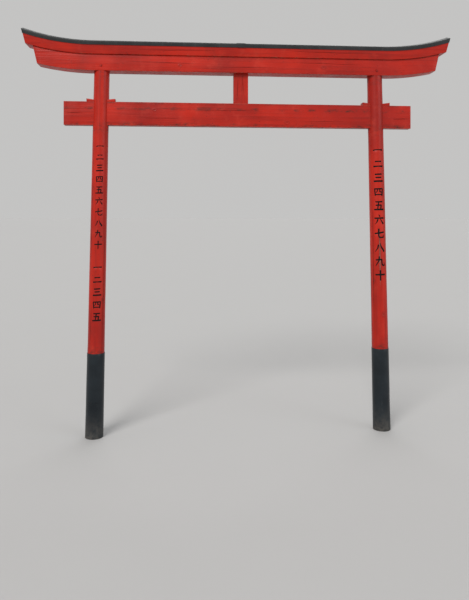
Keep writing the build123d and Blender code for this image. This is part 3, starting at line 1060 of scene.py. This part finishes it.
# Rain cover. Black sheet folded over the ridge and turned down at the eaves, in two lengths that
# butt at the middle under a joint strip. Small nails hold its drip edges.
cover_sheet = 0.0025
cover_drip = 0.024
cover_growth = fit_gap + cover_sheet
cover_rows = 44
hem_height = 0.006
hem_proud = 0.0007
fold_ease = 0.005
end_lip = 0.0005
nail_line = 0.52
side_nails = 10
first_nail = 0.080
side_nail_step = 0.148


def grown_section(growth):
    """The points of the upper lintel's section over the drip line, moved out by a growth, as
    (half width, height over the lintels' line) at the drip, the eave and the ridge."""
    run = Vector((upper_eave_half - upper_foot_half, upper_side_height)).normalized()
    side_out = Vector((run.y, -run.x))
    fall = Vector((upper_eave_half, -upper_ridge_rise)).normalized()
    roof_out = Vector((-fall.y, fall.x))
    eave = Vector((upper_eave_half, lower_height + upper_side_height))
    spread = side_out.x * roof_out.y - side_out.y * roof_out.x
    corner = eave + Vector((roof_out.y - side_out.y, side_out.x - roof_out.x)) * growth / spread
    drip = corner + run * (eave.y - cover_drip - corner.y) / run.y
    return drip, corner, Vector((0, corner.y + corner.x * upper_ridge_rise / upper_eave_half))


def cover_paint():
    """Weathered satin black paint on folded sheet, chalky on top, with rain streaks."""
    finish, place = new_finish("weathered_black_on_cover", specular=0.40)
    cloud = cloudy(place, 4.0, 7.0, 0.66)
    streaks = cloudy(stretched(place, (60, 14, 5)), 1.0, 5.0, 0.6)
    chalk = combined(facing_up(place, 0.5, 0.95), ranged(cloud, 0.40, 0.65, 0.10, 0.55))
    spots = specks(place, 60.0, 0.20, 0.50)
    colour = coats((0.010, 0.012, 0.013, 1),
                   (ranged(cloud, 0.35, 0.70), (0.023, 0.026, 0.028, 1)),
                   (ranged(streaks, 0.55, 0.78, 0, 0.5), (0.060, 0.063, 0.062, 1)),
                   (chalk, (0.080, 0.083, 0.082, 1)),
                   (combined(spots, 0.7), (0.120, 0.052, 0.026, 1)))
    rough = combined(ranged(cloud, 0.3, 0.7, 0.42, 0.62), combined(chalk, 0.30), "ADD")
    bump = raised(cloudy(place, 300.0, 2.0), 0.0004, 0.4)
    waves = cloudy(stretched(place, (5, 9, 9)), 1.0, 2.0)
    return set_look(finish, colour, rough, raised(waves, 0.004, 0.3, bump))


weathered_sheet = cover_paint()


def folded_cover(name, start, end, growth, rows):
    """A sheet folded over the lintel between two places along the gate, and bent up with it."""
    drip, eave, ridge = grown_section(growth)
    over_hem = drip.lerp(eave, (hem_height + 0.001) / cover_drip)
    side = [(drip.x + hem_proud, drip.y), (drip.x + hem_proud, drip.y + hem_height), over_hem, eave]
    section = [(-across, height) for across, height in side] + [ridge] + side[::-1]
    bpy.ops.mesh.primitive_grid_add(x_subdivisions=rows, y_subdivisions=len(section) - 1, size=1)
    cover = fixed_in_place(bpy.context.object, name, weathered_sheet)
    for corner in cover.data.vertices:
        across, height = section[round((corner.co.y + 0.5) * (len(section) - 1))]
        corner.co = (start + (end - start) * (corner.co.x + 0.5), across, lintel_seat + height)
    with picked(cover, "EDGE", lambda edge: runs_along(0)(edge)
                and lintel_seat + eave.y - 0.001 < edge.verts[0].co.z):
        bpy.ops.mesh.bevel(offset=fold_ease, segments=3, affect="EDGES")
    for corner in cover.data.vertices:
        wave = noise.noise(Vector((corner.co.x * 6, corner.co.y * 25, corner.co.z * 25)))
        corner.co.z -= max(0.0, 0.0007 * wave)
    bend_up(cover)
    return cover


def finish_cover(cover, *nodes):
    """Gives a folded sheet its thickness, and puts it on the gate."""
    tidy_shell(cover)
    give_wall(cover, cover_sheet, 60)
    smooth_sides(cover, 38)
    on_gate(cover, "black_cover", *nodes)


def drip_nails(name, growth, places):
    """Nails through a cover's drip edges, front and back, bent up with the sheet."""
    drip, eave = grown_section(growth)[:2]
    line = drip.lerp(eave, nail_line)
    row = joined([nail_at((x, way * line.x, lintel_seat + line.y), (0, way, -flare))
                  for x in places for way in (-1, 1)], name)
    bend_up(row)
    on_gate(row, "black_cover")


for name, side in gate_sides.items():
    start, end = sorted((middle, middle + side * lintel_half))
    cover = folded_cover(f"{name}_cover_sheet", start, end, cover_growth, cover_rows)
    saw_end(cover, side, upper_reach + cover_sheet - end_lip, fill=False)
    finish_cover(cover, f"{name}_rain_cover")
    places = [middle + side * (first_nail + side_nail_step * step) for step in range(side_nails)]
    drip_nails(f"{name}_drip_nails", cover_growth, places)


# Cover ends. The sheet is turned down over the upper lintel's sawn ends, pressed in a little
# inside its border, and nailed.
border = 0.007
border_ease = 0.0012
press = 0.0008
end_nail_places = ((-0.058, 0.180), (0.058, 0.180), (0, 0.180), (-0.060, 0.192), (0.060, 0.192))


def on_end_plane(side, reach, across, height):
    """The point of a leaning end plane at a height over the lintels' line. It follows from the
    plane's distance from the centre of the lintels' curve."""
    leaning = Vector((math.cos(end_slope), math.sin(end_slope)))
    distance = leaning.dot(Vector((curve_run + reach, curve_radius - end_rise)))
    turn = math.asin(distance / (curve_radius - height)) - end_slope
    return on_curve(side, turn, across, height)


drip, eave, ridge = grown_section(0)
outline = [(-drip.x, drip.y), (drip.x, drip.y), (eave.x, eave.y), (0, ridge.y), (-eave.x, eave.y)]
for name, side in gate_sides.items():
    outward = end_plane(side, 0)[1]
    bpy.ops.mesh.primitive_circle_add(vertices=len(outline), radius=0.05, fill_type="NGON")
    end_sheet = fixed_in_place(bpy.context.object, f"{name}_cover_end_sheet", weathered_sheet)
    for corner, (across, height) in zip(end_sheet.data.vertices, outline[::side]):
        corner.co = on_end_plane(side, upper_reach + cover_sheet, across, height)
    modified(end_sheet, "SOLIDIFY", thickness=cover_sheet, offset=-1)
    with picked(end_sheet, "FACE", facing(outward)):
        bpy.ops.mesh.inset(thickness=border)
        bpy.ops.transform.translate(value=-outward * press)
        bpy.ops.mesh.bevel(offset=border_ease, segments=2, affect="EDGES")
    smooth_sides(end_sheet, 38)
    on_gate(end_sheet, "black_cover", f"{name}_cover_end")
    nails = [nail_at(on_end_plane(side, upper_reach + cover_sheet - press, *place), outward)
             for place in end_nail_places]
    on_gate(joined(nails, f"{name}_end_nails"), "black_cover")


# Joint strip. A short length of the same sheet, folded over the butt joint in the middle of the
# rain cover and nailed through both its drip edges.
strip_half = 0.030
strip_nail = 0.020
strip_rows = 4
strip_growth = cover_growth + cover_sheet
strip = folded_cover("joint_strip_sheet", middle - strip_half, middle + strip_half, strip_growth,
                     strip_rows)
finish_cover(strip, "cover_joint_strip")
drip_nails("joint_strip_nails", strip_growth, [middle - strip_nail, middle + strip_nail])
bpy.data.objects.remove(nail_pattern)


# Floor, light and camera. The gate stands on a plain pale floor in soft studio light. The camera
# is level, at eye height, and its picture has a small shift.
camera_place = (0.658, -4.270, 1.546)
camera_turn = math.radians(-4.4)
floor_radius = 400
floor_drop = 0.0005
floor_grey = (0.439, 0.440, 0.440, 1)
floor_pale = (0.455, 0.456, 0.456, 1)
air_light = (0.551, 0.548, 0.542, 1)
bpy.ops.mesh.primitive_circle_add(vertices=64, radius=floor_radius, fill_type="NGON",
                                  location=(middle, 0, -floor_drop))
floor_finish, place = new_finish("pale_floor", specular=0.1)
cloud = cloudy(place, 1.2, 5.0)
set_look(floor_finish, coats(floor_grey, (cloud, floor_pale)),
         ranged(cloud, 0.3, 0.7, 0.85, 0.95), raised(cloudy(place, 90.0), 0.0004))
fixed_in_place(bpy.context.object, "studio_floor", floor_finish)

world = bpy.data.worlds.new("studio_air")
bpy.context.scene.world = world
world.use_nodes = True
air = world.node_tree.nodes["Background"]
air.inputs["Color"].default_value = air_light
air.inputs["Strength"].default_value = 1.0
bpy.context.scene.view_settings.view_transform = "Standard"


def soft_light(name, towards, softness, strength, colour=(1, 1, 1)):
    """A broad soft light from far away that shines in a direction."""
    bpy.ops.object.light_add(type="SUN", location=(middle, 0, 6))
    light = bpy.context.object
    light.name = name
    light.data.angle = math.radians(softness)
    light.data.energy = strength
    light.data.color = colour
    light.rotation_euler = Vector(towards).to_track_quat("-Z", "Y").to_euler()


soft_light("key_light", (0.55, 1.0, -0.95), 26, 2.15, (1.0, 0.97, 0.94))
soft_light("fill_light", (-1.0, 0.75, -0.35), 36, 0.60, (0.94, 0.97, 1.0))
soft_light("back_light", (-0.2, -1.0, -0.9), 50, 0.75)

bpy.ops.object.camera_add(location=camera_place, rotation=(math.pi / 2, 0, camera_turn))
camera = bpy.context.object
camera.name = "photo_camera"
camera.data.sensor_width = 36
camera.data.lens = 36
camera.data.shift_y = -0.14
bpy.context.scene.camera = camera
